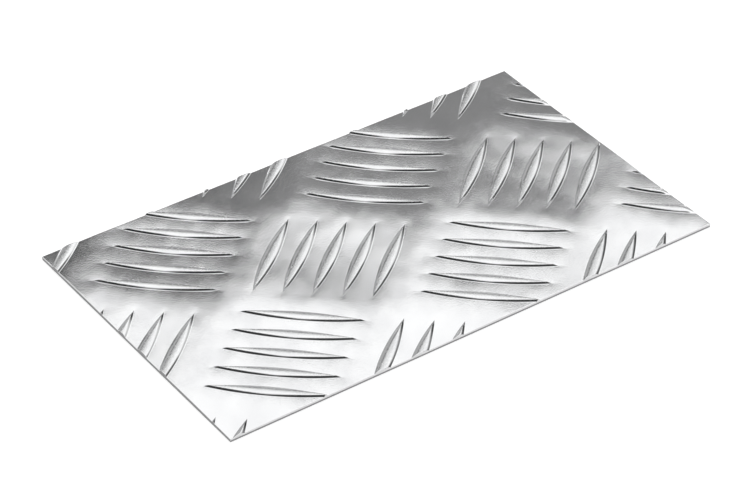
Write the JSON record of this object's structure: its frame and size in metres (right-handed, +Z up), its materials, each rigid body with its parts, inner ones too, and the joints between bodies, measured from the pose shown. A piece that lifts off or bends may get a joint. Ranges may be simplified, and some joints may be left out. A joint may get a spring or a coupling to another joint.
{
  "type": "aluminium checker plate",
  "caption": "Flat rectangular aluminium tread sheet with raised pointed bars in groups that alternate between two diagonal directions.",
  "frame": {"origin": "middle of the flat underside", "axes": "+X along the sheet's length, +Y across it, +Z up, out of the treaded face"},
  "size_m": [0.14, 0.083, 0.0016],
  "materials": {
    "aluminium": "bright rolled mill finish, satin with a fine mottle, sheared edges"
  },
  "bodies": {
    "root": {"tread_sheet": "aluminium"}
  },
  "joints": []
}
